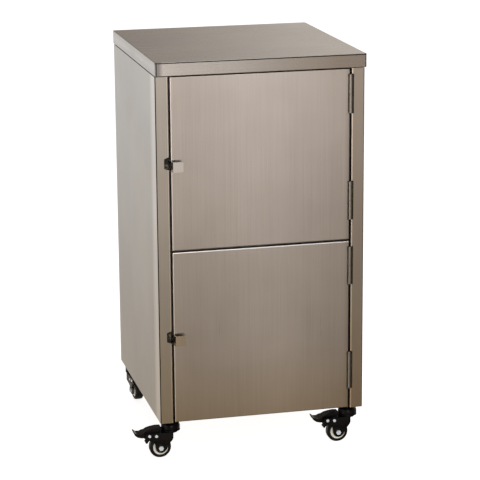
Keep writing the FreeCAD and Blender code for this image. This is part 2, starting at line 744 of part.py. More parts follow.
def door_core(name, door):
    """Foam that fills the skin and the plug, set back behind the hinge notches."""
    low, high = DOORS[door]
    gap = "(SheetSteel + CoreGap)"
    main = block(name + "_main", (f"-{DOOR_SIDE} + {gap}", f"{FRONT} + {gap}", f"{low} + {gap}"),
                 (f"{DOOR_SIDE} - {gap}", f"{FRONT} + SkinDepth", f"{high} - {gap}"))
    plug_low, plug_high = PLUGS[door]
    wall = "(PlugWall + CoreGap)"
    side = f"({DOOR_SIDE} - PlugMargin - {wall})"
    plug = block(name + "_plug", (f"-{side}", f"{FRONT} + SkinDepth", f"{plug_low} + {wall}"),
                 (side, f"{FRONT} + SkinDepth + PlugDepth - CoreGap", f"{plug_high} - {wall}"))
    return cut(name, fuse(name + "_foam", main, plug), *hinge_notches(name + "_notch", "CoreRoom"))


def door_liner(name, door):
    """Inner pressing: a flat border that closes the skin and a plug that fills the mouth."""
    low, high = DOORS[door]
    border = f"{FRONT} + SkinDepth"
    owner = body(name)
    plan = sketch(owner, name + "_plan", "XZ_Plane", f"-({border} + LinerSteel)")
    outline(plan, rectangle(f"-{DOOR_SIDE}", low, DOOR_SIDE, high))
    pad(owner, name + "_border", plan, "LinerSteel")
    plug_low, plug_high = PLUGS[door]
    side = f"({DOOR_SIDE} - PlugMargin)"
    crown = f"({border} + LinerSteel + PlugDepth)"
    rise = sketch(owner, name + "_plug_plan", "XZ_Plane", f"-{crown}")
    outline(rise, rectangle(f"-{side}", plug_low, side, plug_high))
    plug = pad(owner, name + "_plug", rise, "PlugDepth + LinerSteel")
    softened(owner, name + "_crown", plug, "5", lambda edge: lies(edge, "y", crown))
    sunk = sketch(owner, name + "_well_plan", "XZ_Plane", f"-({border} + PlugDepth)")
    outline(sunk, rectangle(f"-{side} + PlugWall", f"{plug_low} + PlugWall",
                            f"{side} - PlugWall", f"{plug_high} - PlugWall"))
    pocket(owner, name + "_well", sunk, "PlugDepth").Reversed = True
    return owner


def rectangle(x_low, y_low, x_high, y_high):
    return [(x_low, y_low), (x_high, y_low), (x_high, y_high), (x_low, y_high)]


def door_gasket(name, door):
    """Soft rectangular ring on the door liner's border."""
    low, high = DOORS[door]
    seat = f"{FRONT} + SkinDepth + LinerSteel"
    face = f"{LAND} - GasketRelief"
    outer = block(name + "_outer", (f"-{DOOR_SIDE} + GasketInset", seat, f"{low} + GasketInset"),
                  (f"{DOOR_SIDE} - GasketInset", face, f"{high} - GasketInset"))
    inset = "(GasketInset + GasketWidth)"
    inner = block(name + "_inner", (f"-{DOOR_SIDE} + {inset}", f"{seat} - 1", f"{low} + {inset}"),
                  (f"{DOOR_SIDE} - {inset}", f"{face} + 1", f"{high} - {inset}"))
    return rounded(name, cut(name + "_ring", outer, inner), "2.5", lambda edge: lies(edge, "y", face))


def door_pull(name, door):
    """Bent steel tab: a root on the door's edge, an outward slope and a face across the front."""
    middle = pull_centre(door)
    owner = body(name)
    section = sketch(owner, name + "_section", "XY_Plane", middle)
    edge = f"-{DOOR_SIDE}"
    face = f"({FRONT} - PullStand)"
    outline(section, [
        (edge, f"{FRONT} + 24"),
        (edge, f"{FRONT} - 1.5"),
        (f"{edge} + 2.4", f"{face} + PullSteel"),
        (f"{edge} + PullReach", f"{face} + PullSteel"),
        (f"{edge} + PullReach", face),
        (f"{edge} + 1.2", face),
        (f"{edge} - PullSteel", f"{FRONT} - 2"),
        (f"{edge} - PullSteel", f"{FRONT} + 24"),
    ])
    strip = pad(owner, name + "_strip", section, "PullHeight", both_sides=True)
    softened(owner, name + "_corners", strip, "3", lambda e: (
        lies(e, "x", f"{edge} + PullReach") and spans(e, "y")))
    return owner


# ---------------------------------------------------------------- casters

def on_caster(thing, corner, x, y, z):
    """Place a piece given in its caster's own frame: X away from the trail, origin on the floor."""
    sx, sy, turn = CASTERS[corner]
    thing.Placement = Placement(Vector(), Rotation(Vector(0, 0, 1), turn))
    along = f"cos({turn} deg)"
    across = f"sin({turn} deg)"
    put(thing, f"{sx}*{AXIS_SIDE} + {along}*({x}) - {across}*({y})",
        f"{swivel_y(sy)} + {across}*({x}) + {along}*({y})", z)
    return thing


def caster_stem(name, corner):
    """Threaded stem, flush with the mount plate, with the fixed upper race and the kingpin."""
    owner = body(name)
    section = sketch(owner, name + "_section", "XZ_Plane")
    outline(section, [
        ("0", "ForkTop - ForkSteel - 4"),
        ("8", "ForkTop - ForkSteel - 4"),
        ("8", "ForkTop - ForkSteel - 0.4"),
        ("5.8", "ForkTop - ForkSteel - 0.4"),
        ("5.8", "ForkTop + 4.4"),
        ("RaceRadius - 1.6", "ForkTop + 4.4"),
        ("RaceRadius - 0.2", "ForkTop + 6.2"),
        ("RaceRadius - 0.2", "ForkTop + 12"),
        ("RaceRadius - 1.6", "ForkTop + 15.6"),
        ("RaceRadius - 6", "ForkTop + 18.6"),
        ("StemRadius", "ForkTop + 18.6"),
        ("StemRadius", BASE),
        ("0", BASE),
    ])
    turned(owner, name + "_turn", section, "V_Axis")
    return on_caster(owner, corner, "0", "0", "0")


def caster_fork(name, corner):
    """Pressed fork: round swivel head, top plate, and two legs that carry the axle and brake."""
    owner = body(name)
    profile = sketch(owner, name + "_profile", "XZ_Plane")
    outline(profile, [
        ("RaceRadius - 9", "ForkTop"),
        ("-62", "ForkTop"),
        ("-62", "53"),
        ("-52", "46"),
        ("-40.5", "41.5"),
        ("-Trail - 12", "WheelRadius"),
        ("-Trail - 10", "WheelRadius - 6.6"),
        ("-Trail - 5.5", "WheelRadius - 10.7"),
        ("-Trail + 0.5", "WheelRadius - 12"),
        ("-Trail + 7", "WheelRadius - 10.4"),
        ("-Trail + 12", "WheelRadius - 6"),
        ("-Trail + 15.5", "WheelRadius"),
        ("-Trail + 22", "WheelRadius + 13.5"),
        ("RaceRadius - 12.5", "ForkTop - 4.5"),
    ])
    slab = pad(owner, name + "_slab", profile, "ForkShoulder + 2*ForkSteel", both_sides=True)
    softened(owner, name + "_corners", slab, "2", lambda edge: (
        spans(edge, "y") and not lies(edge, "z", "ForkTop")))
    for side in (-1, 1):
        waste = sketch(owner, f"{name}_waste_{side}", "YZ_Plane", "-90")
        outline(waste, [
            (f"{side}*(ForkInside/2 + ForkSteel)", "0"),
            (f"{side}*(ForkInside/2 + ForkSteel)", "FlareFoot"),
            (f"{side}*(ForkShoulder/2 + ForkSteel)", "FlareHead"),
            (f"{side}*(ForkShoulder/2 + ForkSteel + 5)", "FlareHead"),
            (f"{side}*(ForkShoulder/2 + ForkSteel + 5)", "0"),
        ])
        pocket(owner, f"{name}_flare_{side}", waste, "130").Reversed = True
        corner_cut = sketch(owner, f"{name}_nose_plan_{side}", "XY_Plane")
        outline(corner_cut, [
            ("-2", f"{side}*(ForkShoulder/2 + ForkSteel)"),
            ("RaceRadius - 9", f"{side}*(ForkShoulder/2 - 5)"),
            ("RaceRadius", f"{side}*(ForkShoulder/2 - 5)"),
            ("RaceRadius", f"{side}*(ForkShoulder/2 + ForkSteel + 5)"),
            ("-2", f"{side}*(ForkShoulder/2 + ForkSteel + 5)"),
        ])
        pocket(owner, f"{name}_nose_{side}", corner_cut, "ForkTop + 1").Reversed = True
    channel = sketch(owner, name + "_channel", "YZ_Plane", "-90")
    outline(channel, [
        ("-ForkInside/2", "0"),
        ("-ForkInside/2", "FlareFoot + 0.6"),
        ("-ForkShoulder/2", "FlareHead + 0.6"),
        ("-ForkShoulder/2", "ForkTop - ForkSteel"),
        ("ForkShoulder/2", "ForkTop - ForkSteel"),
        ("ForkShoulder/2", "FlareHead + 0.6"),
        ("ForkInside/2", "FlareFoot + 0.6"),
        ("ForkInside/2", "0"),
    ])
    pocket(owner, name + "_inside", channel, "130").Reversed = True
    window = sketch(owner, name + "_window", "XZ_Plane")
    outline(window, rectangle("-90", "ForkTop - ForkSteel - 1", "-29", "ForkTop + 1"))
    pocket(owner, name + "_pedal_slot", window, "ForkInside", both_sides=True)
    head = sketch(owner, name + "_head_section", "XZ_Plane")
    outline(head, [
        ("0", "ForkTop - ForkSteel"),
        ("RaceRadius - 9", "ForkTop - ForkSteel"),
        ("RaceRadius", "ForkTop + 1"),
        ("RaceRadius", "ForkTop + 2.6"),
        ("RaceRadius - 1.6", "ForkTop + 4"),
        ("0", "ForkTop + 4"),
    ])
    turned(owner, name + "_head", head, "V_Axis")
    king = sketch(owner, name + "_king", "XY_Plane", "ForkTop - 10")
    ring(king, "0", "0", "5.9")
    pocket(owner, name + "_king_hole", king, "20").Reversed = True
    for tag, x, z, radius in (
        ("axle", "-Trail", "WheelRadius", "AxleRadius"),
        ("pivot", PIVOT[0], PIVOT[1], "2.5"),
        ("stop", STOP[0], STOP[1], "2.5"),
    ):
        hole = sketch(owner, f"{name}_{tag}_hole", "XZ_Plane")
        ring(hole, x, z, radius)
        pocket(owner, f"{name}_{tag}_bore", hole, "60", both_sides=True)
    return on_caster(owner, corner, "0", "0", "0")


def caster_fasteners(name, corner):
    """Axle bolt with its head and nut, and the two brake rivets."""
    half = "(ForkInside/2 + ForkSteel)"
    axle = rod(name + "_bolt", ("-Trail", f"-{half} - 4", "WheelRadius"), f"2*{half} + 6", "AxleRadius", "Y")
    head = hexagon(name + "_hex", ("-Trail", f"-{half} - 4", "WheelRadius"), "4", "10", "Y")
    nut = hexagon(name + "_nut", ("-Trail", half, "WheelRadius"), "5", "10", "Y")
    pieces = [fuse(name + "_axle", axle, head, nut)]
    wide = "(ForkShoulder/2 + ForkSteel)"
    for tag, (x, z) in (("pivot", PIVOT), ("stop", STOP)):
        shank = rod(f"{name}_{tag}_shank", (x, f"-{wide} - 2", z), f"2*{wide} + 4", "2.5", "Y")
        near = rod(f"{name}_{tag}_near", (x, f"-{wide} - 2", z), "2", "3.6", "Y")
        far = rod(f"{name}_{tag}_far", (x, wide, z), "2", "3.6", "Y")
        rivet = fuse(f"{name}_{tag}_rivet", shank, near, far)
        pieces.append(rounded(f"{name}_{tag}", rivet, "1.4", lambda e: e.Length > 20 and (
            lies(e, "y", f"-{wide} - 2") or lies(e, "y", f"{wide} + 2"))))
    return on_caster(group(name, *pieces), corner, "0", "0", "0")


def wheel_profile(drawing, points):
    """Mirror one half of a wheel's section about its middle plane."""
    outline(drawing, points + [(f"-({x})", y) for x, y in reversed(points)])


def caster_hub(name, corner):
    """Plastic wheel centre: boss, recessed web and rim."""
    owner = body(name)
    section = sketch(owner, name + "_section", "YZ_Plane")
    wheel_profile(section, [
        ("TreadWidth/2 - 1.5", "HubRadius"),
        ("TreadWidth/2 - 0.8", "HubRadius - 1"),
        ("TreadWidth/2 - 0.8", "HubRadius - 5"),
        ("TreadWidth/2 - 3", "HubRadius - 7"),
        ("TreadWidth/2 - 3", "8"),
        ("BossHalf", "7"),
        ("BossHalf", "AxleRadius + AxlePlay"),
    ])
    turned(owner, name + "_turn", section, "H_Axis")
    return on_caster(owner, corner, "-Trail", "0", "WheelRadius")


def caster_tread(name, corner):
    """Hard rubber tyre with rounded shoulders."""
    owner = body(name)
    section = sketch(owner, name + "_section", "YZ_Plane")
    wheel_profile(section, [
        ("TreadWidth/2 - 4.5", "WheelRadius"),
        ("TreadWidth/2 - 1.6", "WheelRadius - 1.2"),
        ("TreadWidth/2 - 0.2", "WheelRadius - 4"),
        ("TreadWidth/2", "HubRadius + 1"),
        ("TreadWidth/2 - 1.5", "HubRadius"),
    ])
    turned(owner, name + "_turn", section, "H_Axis")
    return on_caster(owner, corner, "-Trail", "0", "WheelRadius")


def caster_pedal(name, corner):
    """Brake pedal: an arm between the fork's legs, a wide foot paddle and a shoe at the tread."""
    owner = body(name)
    arm = sketch(owner, name + "_arm_plan", "XZ_Plane")
    outline(arm, [
        ("-23.6", "73"),
        ("-34", "73.5"),
        ("-46", "72"),
        ("-56", "69.5"),
        ("-66", "63.5"),
        ("-66", "53"),
        ("-60", "47"),
        ("-57.5", "41"),
        ("-53.5", "41"),
        ("-49.5", "50"),
        ("-47", "60"),
        ("-33", "65"),
        ("-23.6", "66"),
    ])
    pad(owner, name + "_arm", arm, "ForkInside - 0.8", both_sides=True)
    knob = sketch(owner, name + "_knob_plan", "XZ_Plane")
    ring(knob, "-57.2", "38.6", "3")
    pad(owner, name + "_knob", knob, "14", both_sides=True)
    foot = sketch(owner, name + "_foot_plan", "XZ_Plane")
    outline(foot, [
        ("-64.5", "65"),
        ("-72", "61.5"),
        ("-80", "62"),
        ("-86", "66.5"),
        ("-88", "65.5"),
        ("-85", "59"),
        ("-78", "54.5"),
        ("-70", "52.5"),
        ("-64.5", "52.5"),
    ])
    paddle = pad(owner, name + "_foot", foot, "ForkInside + 2*ForkSteel", both_sides=True)
    softened(owner, name + "_corners", paddle, "3", lambda edge: (
        edge.BoundBox.XMin < -85 and edge.BoundBox.XLength > 1 and not spans(edge, "y")
        and edge.BoundBox.ZLength > 3 and abs(edge.BoundBox.XMax + 85) < 0.1))
    hole = sketch(owner, name + "_hole", "XZ_Plane")
    ring(hole, PIVOT[0], PIVOT[1], "2.55")
    pocket(owner, name + "_bore", hole, "60", both_sides=True)
    return on_caster(owner, corner, "0", "0", "0")


def bolt_places():
    """Four bolts for each mount plate, behind the lower door at the front."""
    places = []
    for sx, sy, _ in CASTERS.values():
        for reach in ("MountWidth - 34", "-5"):
            for depth in ("60", "92"):
                y = f"({FRONT} + {depth})" if sy < 0 else f"({BACK} - {depth})"
                places.append((f"{sx}*({AXIS_SIDE} - ({reach}))", y))
    return places


def caster_mount_plates(name):
    """Tapped plates under the base that carry the stems out to the corners, below the door."""
    plates = []
    for corner, (sx, sy, _) in CASTERS.items():
        near = f"{sx}*({AXIS_SIDE} + CasterInset - 3 - MountWidth)"
        far = f"{sx}*({AXIS_SIDE} + CasterInset - 8)"
        x_low, x_high = (near, far) if sx > 0 else (far, near)
        y_low, y_high = (f"{FRONT} + 20", f"{FRONT} + 105") if sy < 0 else (f"{BACK} - 105", f"{BACK} - 20")
        blank = block(f"{name}_{corner}_blank", (x_low, y_low, f"{BASE} - MountPlate"),
                      (x_high, y_high, BASE))
        plate = rounded(f"{name}_{corner}_plate", blank, "6", lambda edge: spans(edge, "z"))
        hole = rod(f"{name}_{corner}_hole", (f"{sx}*{AXIS_SIDE}", swivel_y(sy), f"{BASE} - 10"),
                   "20", "StemRadius")
        bolts = [
            rod(f"{name}_{corner}_bolt_{i}", (x, y, f"{BASE} - 10"), "20", "BoltRadius")
            for i, (x, y) in enumerate(bolt_places())
        ]
        plates.append(cut(f"{name}_{corner}", plate, hole, *bolts))
    return group(name, *plates)


def mount_plate_bolts(name):
    """Bolts and nuts that clamp the mount plates to the bottom panel."""
    bolts = []
    for i, (x, y) in enumerate(bolt_places()):
        low = f"({BASE} - MountPlate)"
        shank = rod(f"{name}_shank_{i}", (x, y, low), f"{FLOOR_TOP} + 6.5 - {low}", "BoltRadius")
        head = hexagon(f"{name}_head_{i}", (x, y, f"{low} - 4"), "4", "10")
        nut = hexagon(f"{name}_nut_{i}", (x, y, FLOOR_TOP), "5", "10")
        bolts.append(fuse(f"{name}_{i}", shank, head, nut))
    return group(name, *bolts)


def caster_stem_nuts(name):
    """Jam nut on each stem, under its mount plate."""
    nuts = []
    for corner, (sx, sy, _) in CASTERS.items():
        x = f"{sx}*{AXIS_SIDE}"
        y = swivel_y(sy)
        foot = f"({BASE} - MountPlate - StemNut)"
        nut = hexagon(f"{name}_{corner}_hex", (x, y, foot), "StemNut", "17")
        hole = rod(f"{name}_{corner}_hole", (x, y, f"{foot} - 1"), "9", "StemRadius")
        nuts.append(cut(f"{name}_{corner}", nut, hole))
    return group(name, *nuts)


# ---------------------------------------------------------------- the whole icebox

pieces = {}


def add(name, maker, *arguments):
    piece = maker(name, *arguments)
    piece.Label = name
    pieces[name] = piece


ice_openings = duct_cutters("ice_duct", "IceFloor - 5", "IceFloor + 1", "(LinerSteel + 0.1)")
ice_openings.append(drain_cutter("ice_drain", "IceFloor - 5", "IceFloor + 1", "DrainBore"))
food_openings = duct_cutters("food_duct", "FoodCeiling - 1", "FoodCeiling + 5", "(LinerSteel + 0.1)")
food_openings += [
    drain_cutter("food_drain_top", "FoodCeiling - 1", "FoodCeiling + 5", "DrainRadius + 0.2"),
    drain_cutter("food_drain_foot", "FoodFloor - 5", "FoodFloor + 1", "DrainRadius + 0.2"),
]

add("side_panel_left", side_panel, -1, latch_notches("left_notch"))
add("side_panel_right", side_panel, 1, hinge_notches("right_notch"))
add("back_panel", back_panel)
add("back_rivets", back_rivets)
add("bottom_panel", bottom_panel)
add("top_cap", top_cap)
add("cap_seal", cap_seal)
add("ice_liner", liner, "IceFloor", "IceCeiling", f"{SPLIT} + 0.1", f"{TOP} - 3", ice_openings)
add("food_liner", liner, "FoodFloor", "FoodCeiling", f"{BASE} + 3", f"{SPLIT} - 0.1", food_openings)
add("insulation_boards", insulation_boards)
add("air_ducts", air_ducts)
add("ice_rack", ice_rack)
add("food_shelf", food_shelf)
add("shelf_rails", shelf_rails)
add("drain_fitting", drain_fitting)
add("drain_tube", drain_tube)
add("drain_valve", drain_valve)
add("hinge_frame_halves", hinge_halves, DOORS, 1)
add("hinge_pins", hinge_pins)
add("catch_magnets", catch_magnets)
for door in DOORS:
    skin_cutters = hinge_notches(f"{door}_skin_notch")
    add(f"{door}_door_skin", door_skin, door, skin_cutters)
    add(f"{door}_door_core", door_core, door)
    add(f"{door}_door_liner", door_liner, door)
    add(f"{door}_door_gasket", door_gasket, door)
    add(f"{door}_door_hinge_halves", hinge_halves, [door], -1)
    add(f"{door}_door_pull", door_pull, door)
add("caster_mount_plates", caster_mount_plates)
add("mount_plate_bolts", mount_plate_bolts)
add("caster_stem_nuts", caster_stem_nuts)
for corner in CASTERS:
    add(f"caster_{corner}_stem", caster_stem, corner)
    add(f"caster_{corner}_fork", caster_fork, corner)
    add(f"caster_{corner}_fasteners", caster_fasteners, corner)
    add(f"caster_{corner}_hub", caster_hub, corner)
    add(f"caster_{corner}_tread", caster_tread, corner)
    add(f"caster_{corner}_pedal", caster_pedal, corner)

doc.recompute()

faults = [item.Name for item in doc.Objects if {"Invalid", "Error"} & set(item.State)]
for name, piece in pieces.items():
    shape = piece.Shape
    if shape.isNull() or not shape.isValid() or not shape.Solids:
        faults.append(name)
if faults:
    raise SystemExit("failed objects: " + ", ".join(faults))

os.makedirs("parts", exist_ok=True)
for name, piece in pieces.items():
    piece.Shape.exportStep(f"parts/{name}.step")
print(len(pieces), "pieces written")
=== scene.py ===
import json
import math

import bpy
from mathutils import Matrix, Vector


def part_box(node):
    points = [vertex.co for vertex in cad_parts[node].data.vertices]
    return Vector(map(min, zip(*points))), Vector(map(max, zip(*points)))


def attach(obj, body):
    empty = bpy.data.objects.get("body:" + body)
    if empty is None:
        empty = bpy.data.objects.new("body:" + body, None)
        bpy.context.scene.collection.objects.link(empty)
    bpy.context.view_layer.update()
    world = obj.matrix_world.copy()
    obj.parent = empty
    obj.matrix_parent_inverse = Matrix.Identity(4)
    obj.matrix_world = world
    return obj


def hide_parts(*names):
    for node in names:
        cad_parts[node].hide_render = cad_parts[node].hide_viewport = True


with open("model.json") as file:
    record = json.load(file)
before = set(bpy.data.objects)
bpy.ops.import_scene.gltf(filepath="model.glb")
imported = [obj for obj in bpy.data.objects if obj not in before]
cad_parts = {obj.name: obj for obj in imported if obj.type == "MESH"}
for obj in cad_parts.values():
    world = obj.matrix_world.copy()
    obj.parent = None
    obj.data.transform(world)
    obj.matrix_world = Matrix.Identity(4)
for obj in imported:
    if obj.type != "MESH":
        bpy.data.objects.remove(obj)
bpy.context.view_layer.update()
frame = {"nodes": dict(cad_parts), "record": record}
nodes = frame["nodes"]
scene = bpy.context.scene
scene.view_settings.view_transform = "Standard"
scene.view_settings.look = "None"

DOORS = ("upper", "lower")
MM = 0.001


# ---------------------------------------------------------------- node helpers

class Graph:
    """A short way to write a material's node tree."""

    def __init__(self, tree):
        self.tree = tree

    def node(self, kind, **settings):
        made = self.tree.nodes.new(kind)
        for key, value in settings.items():
            if key.startswith("in_"):
                made.inputs[key[3:].replace("_", " ")].default_value = value
            else:
                setattr(made, key, value)
        return made

    def link(self, source, target):
        self.tree.links.new(source, target)

    def coords(self, kind="Object"):
        return self.node("ShaderNodeTexCoord").outputs[kind]

    def scaled(self, vector, scale, offset=(0, 0, 0)):
        mapping = self.node("ShaderNodeMapping")
        mapping.inputs["Scale"].default_value = scale
        mapping.inputs["Location"].default_value = offset
        self.link(vector, mapping.inputs["Vector"])
        return mapping.outputs["Vector"]

    def noise(self, vector, scale=1.0, detail=2.0, rough=0.5, distortion=0.0):
        made = self.node("ShaderNodeTexNoise")
        made.inputs["Scale"].default_value = scale
        made.inputs["Detail"].default_value = detail
        made.inputs["Roughness"].default_value = rough
        made.inputs["Distortion"].default_value = distortion
        self.link(vector, made.inputs["Vector"])
        return made.outputs["Fac"]

    def remap(self, value, low, high, to_low, to_high):
        made = self.node("ShaderNodeMapRange")
        for name, number in (("From Min", low), ("From Max", high), ("To Min", to_low), ("To Max", to_high)):
            made.inputs[name].default_value = number
        self.link(value, made.inputs["Value"])
        return made.outputs["Result"]

    def math(self, operation, first, second):
        made = self.node("ShaderNodeMath", operation=operation)
        for slot, value in zip(made.inputs, (first, second)):
            if isinstance(value, (int, float)):
                slot.default_value = value
            else:
                self.link(value, slot)
        return made.outputs[0]

    def split(self, vector):
        """A vector's three parts."""
        made = self.node("ShaderNodeSeparateXYZ")
        self.link(vector, made.inputs[0])
        return made.outputs

    def grey(self, value):
        """A value as a colour with three equal parts."""
        made = self.node("ShaderNodeCombineXYZ")
        for slot in made.inputs:
            self.link(value, slot)
        return made.outputs[0]

    def band(self, value, low, high, soft):
        """One between two limits, falling to nothing over a soft edge."""
        rise = self.remap(value, low - soft, low, 0.0, 1.0)
        fall = self.remap(value, high, high + soft, 1.0, 0.0)
        return self.math("MULTIPLY", rise, fall)

    def overlap(self, *masks):
        """The product of several masks."""
        made = masks[0]
        for mask in masks[1:]:
            made = self.math("MULTIPLY", made, mask)
        return made

    def union(self, *masks):
        """The strongest of several masks."""
        made = masks[0]
        for mask in masks[1:]:
            made = self.math("MAXIMUM", made, mask)
        return made

    def blend(self, factor, first, second, mode="MIX"):
        """Two colours mixed. Each input is a socket, a number or a colour."""
        made = self.node("ShaderNodeMix", data_type="RGBA", blend_type=mode)
        pairs = ((made.inputs["Factor"], factor), (made.inputs[6], first), (made.inputs[7], second))
        for slot, value in pairs:
            if hasattr(value, "is_linked"):
                self.link(value, slot)
            elif isinstance(value, (int, float)):
                slot.default_value = value
            else:
                slot.default_value = (*value, 1.0)
        return made.outputs[2]

    def ramp(self, value, stops):
        """A colour ramp from (position, colour) stops."""
        made = self.node("ShaderNodeValToRGB")
        elements = made.color_ramp.elements
        elements[0].position, elements[0].color = stops[0][0], (*stops[0][1], 1)
        elements[1].position, elements[1].color = stops[-1][0], (*stops[-1][1], 1)
        for position, colour in stops[1:-1]:
            elements.new(position).color = (*colour, 1)
        self.link(value, made.inputs["Fac"])
        return made.outputs["Color"]

    def bump(self, height, strength, distance):
        made = self.node("ShaderNodeBump")
        made.inputs["Strength"].default_value = strength
        made.inputs["Distance"].default_value = distance
        self.link(height, made.inputs["Height"])
        return made.outputs["Normal"]


def material(name):
    """A new material with an empty graph and its Principled shader."""
    made = bpy.data.materials.new(name)
    made.use_nodes = True
    graph = Graph(made.node_tree)
    return made, graph, made.node_tree.nodes["Principled BSDF"]


def shade(shader, graph, colour, roughness, normal=None, metallic=0.0, **values):
    """Wire a shader's inputs and set the uniform ones on their own sockets."""
    graph.link(colour, shader.inputs["Base Color"])
    if isinstance(roughness, float):
        shader.inputs["Roughness"].default_value = roughness
    else:
        graph.link(roughness, shader.inputs["Roughness"])
    if normal is not None:
        graph.link(normal, shader.inputs["Normal"])
    shader.inputs["Metallic"].default_value = metallic
    for name, value in values.items():
        shader.inputs[name.replace("_", " ")].default_value = value


# ---------------------------------------------------------------- materials

# How often the brushed grain changes in a metre, across and along itself.
GRAIN_PER_M = 1400.0
STREAK_PER_M = 7.0
DASH_SCALE = 0.45
BAND_SCALE = 0.05
SMUDGE_TINT = (1.0, 0.96, 0.91)


def brushed(name, dark, light, grain="Z", rough=0.30, anisotropic=0.6, depth=0.03 * MM, folds=None):
    """Brushed stainless steel: short streaks along the grain, soft bands, faint smudges and clouds.

    The washes function given last lists painted shade, painted highlights and painted reflections as (mask,
    factor, dulling), along bends and edges and across zones of the sheet.
    A wash multiplies the colour by its factor and adds its dulling to the roughness.
    """
    made, g, shader = material(name)
    place = g.coords()
    scales = {"X": (STREAK_PER_M, GRAIN_PER_M, GRAIN_PER_M),
              "Z": (GRAIN_PER_M, GRAIN_PER_M, STREAK_PER_M)}[grain]
    dash_scales = tuple(scale * DASH_SCALE for scale in scales)
    band_scales = tuple(scale * BAND_SCALE for scale in scales)
    fine = g.noise(g.scaled(place, scales), detail=3.0, rough=0.65)
    dashes = g.noise(g.scaled(place, dash_scales, (3.1, 1.7, 0.4)), detail=2.0)
    bands = g.noise(g.scaled(place, band_scales, (0.7, 2.3, 1.9)), detail=2.0)
    smudge = g.noise(place, scale=6.0, detail=4.0, rough=0.55, distortion=0.6)
    cloud = g.noise(place, scale=3.2, detail=3.0, rough=0.6)

    streak = g.math("ADD", g.math("MULTIPLY", fine, 0.6), g.math("MULTIPLY", dashes, 0.4))
    tone = g.math("ADD", g.math("MULTIPLY", streak, 0.85), g.math("MULTIPLY", bands, 0.15))
    warm = tuple(part * tint for part, tint in zip(light, SMUDGE_TINT))
    colour = g.blend(g.remap(tone, 0.32, 0.68, 0.0, 1.0), dark, light)
    colour = g.blend(g.remap(smudge, 0.45, 0.7, 0.0, 0.35), colour, warm)
    colour = g.blend(1.0, colour, g.grey(g.remap(cloud, 0.35, 0.65, 0.93, 1.04)), "MULTIPLY")
    roughness = g.math("ADD", g.remap(streak, 0.3, 0.7, rough - 0.02, rough + 0.025),
                       g.remap(smudge, 0.4, 0.7, -0.012, 0.025))
    # Each wash paints light or shade into the colour, and may also roughen it.
    for mask, factor, dulling in folds(g, place) if folds else ():
        colour = g.blend(mask, colour, factor, "MULTIPLY")
        roughness = g.math("ADD", roughness, g.math("MULTIPLY", mask, dulling))

    tangent = g.node("ShaderNodeTangent", direction_type="RADIAL", axis=grain)
    g.link(tangent.outputs["Tangent"], shader.inputs["Tangent"])
    shade(shader, g, colour, roughness, g.bump(fine, strength=0.2, distance=depth),
          metallic=1.0, Anisotropic=anisotropic)
    return made


# Washes of painted shade and painted highlight along the sheets' bends and edges, standing in for how they
# are lit. A band that ends at an edge runs past it by PAST_EDGE.
PAINTED_FOLD_SHADE = (0.05, 0.045, 0.04)
PAINTED_EDGE_HIGHLIGHT = (1.80, 1.80, 1.80)
PAST_EDGE = 10 * MM
LINE_SOFT = 0.6 * MM
EDGE_SOFT = 0.8 * MM
CAP_FACE = 1.6 * MM
SHEET_FACE = 1.2 * MM
PAINTED_END_SHADE = 0.42


def cap_painted_light(g, place):
    """Cap, all painted light and shade: dark painted reflection lines along the bends round its front, a
    softer painted shade patch at its left end (these are rougher too), the front darkened and browner towards
    its right end, and a top darkened overall with a painted highlight growing rightwards.
    """
    low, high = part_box("top_cap")
    x, y, z = g.split(place)
    front = g.band(y, low.y - PAST_EDGE, low.y + CAP_FACE, LINE_SOFT)
    top = g.band(z, high.z - 0.4 * MM, high.z + PAST_EDGE, LINE_SOFT)
    top_line = g.band(z, high.z - 3.0 * MM, high.z - 1.4 * MM, LINE_SOFT)
    left_line = g.band(x, low.x + 2.2 * MM, low.x + 3.8 * MM, EDGE_SOFT)
    right_line = g.band(x, high.x - 2.2 * MM, high.x + PAST_EDGE, LINE_SOFT)
    left_end_shade = g.math("MULTIPLY", g.band(x, low.x + 4 * MM, low.x + 9 * MM, 9 * MM), PAINTED_END_SHADE)
    right_end = g.remap(x, high.x - 300 * MM, high.x - 60 * MM, 0.0, 1.0)
    rightwards = g.remap(x, low.x + 40 * MM, high.x - 40 * MM, 0.0, 1.0)
    lines = g.union(top_line, left_line, right_line, left_end_shade)
    return [(top, (0.90, 0.89, 0.87), 0.0),
            (g.overlap(rightwards, top), (1.25, 1.26, 1.28), 0.0),
            (g.overlap(lines, front), PAINTED_FOLD_SHADE, 0.35),
            (front, (0.84, 0.87, 0.90), 0.0),
            (g.overlap(right_end, front), (0.82, 0.76, 0.70), 0.0)]


